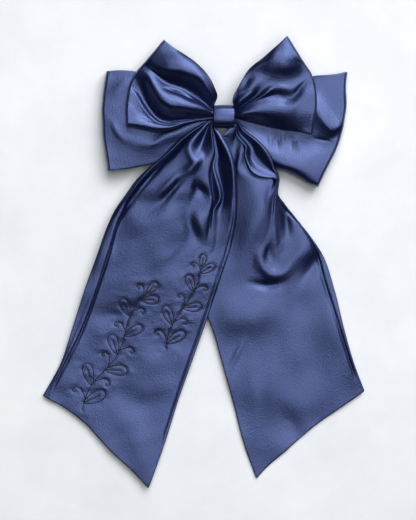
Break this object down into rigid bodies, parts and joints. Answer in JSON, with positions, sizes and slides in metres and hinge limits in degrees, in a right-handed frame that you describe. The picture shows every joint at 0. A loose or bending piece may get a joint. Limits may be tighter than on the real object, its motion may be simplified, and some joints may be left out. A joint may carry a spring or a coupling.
{
  "type": "hair bow",
  "caption": "Oversized satin hair bow: two stacked pairs of loops, a knot and two long embroidered tails on a sprung clasp barrette.",
  "frame": {"origin": "middle of the clasp arm's flat outer face, under the knot; the bow lies on its back with that face on z = 0", "axes": "+X to the bow's right as seen from the front, +Y to the top of the bow, +Z out of its front face"},
  "size_m": [0.2559, 0.3598, 0.0372],
  "materials": {
    "satin": "matt duchess satin, navy blue, soft sheen",
    "thread": "dark navy sewing thread",
    "embroidery": "near-black navy embroidery thread with a silk lustre",
    "steel": "nickel-plated spring steel"
  },
  "bodies": {
    "center": {"barrette_top_bar": "steel", "barrette_hinge_pin": "steel", "barrette_catch_base": "steel", "barrette_catch_rivet": "steel", "knot_wrap": "satin", "knot_closing_stitches": "thread", "front_bow_waist": "satin", "front_bow_gathering_thread": "thread", "back_bow_waist": "satin", "back_bow_gathering_thread": "thread", "back_left_loop": "satin", "back_right_loop": "satin", "tail_waist": "satin", "tail_gathering_thread": "thread"},
    "clasp_arm": {"barrette_clasp_arm": "steel"},
    "tension_bar": {"barrette_tension_bar": "steel"},
    "catch_prong_upper": {"barrette_catch_prong_upper": "steel"},
    "catch_prong_lower": {"barrette_catch_prong_lower": "steel"},
    "front_left_loop": {"front_left_loop": "satin"},
    "front_right_loop": {"front_right_loop": "satin"},
    "left_tail": {"left_tail": "satin", "embroidery_long_vine": "embroidery", "embroidery_short_vine": "embroidery"},
    "right_tail": {"right_tail": "satin"}
  },
  "joints": [
    {"name": "clasp_hinge", "type": "hinge", "parent": "center", "child": "clasp_arm", "pos_m": [-0.038, 0, 0.003], "axis": [0, 1, 0], "range_deg": [0, 70]},
    {"name": "tension_bar_flex", "type": "hinge", "parent": "center", "child": "tension_bar", "pos_m": [-0.038, 0, 0.003], "axis": [0, 1, 0], "range_deg": [-0.6, 1], "stiffness_Nm_per_rad": 0.1},
    {"name": "catch_squeeze_upper", "type": "hinge", "parent": "center", "child": "catch_prong_upper", "pos_m": [0.0374, 0.00195, 0.00355], "axis": [-1, 0, 0], "range_deg": [0, 8], "stiffness_Nm_per_rad": 0.01},
    {"name": "catch_squeeze_lower", "type": "hinge", "parent": "center", "child": "catch_prong_lower", "pos_m": [0.0374, -0.00195, 0.00355], "axis": [1, 0, 0], "range_deg": [0, 8], "stiffness_Nm_per_rad": 0.01},
    {"name": "front_left_loop_lift", "type": "hinge", "parent": "center", "child": "front_left_loop", "pos_m": [-0.0088, 0, 0.019], "axis": [0, 1, 0], "range_deg": [0, 20]},
    {"name": "front_right_loop_lift", "type": "hinge", "parent": "center", "child": "front_right_loop", "pos_m": [0.0088, 0, 0.019], "axis": [0, -1, 0], "range_deg": [0, 20]},
    {"name": "left_tail_swing", "type": "hinge", "parent": "center", "child": "left_tail", "pos_m": [-0.009, -0.004, 0.015], "axis": [0, 0, 1], "range_deg": [-8, 5]},
    {"name": "right_tail_swing", "type": "hinge", "parent": "center", "child": "right_tail", "pos_m": [0.009, -0.004, 0.015], "axis": [0, 0, 1], "range_deg": [-5, 8]}
  ]
}
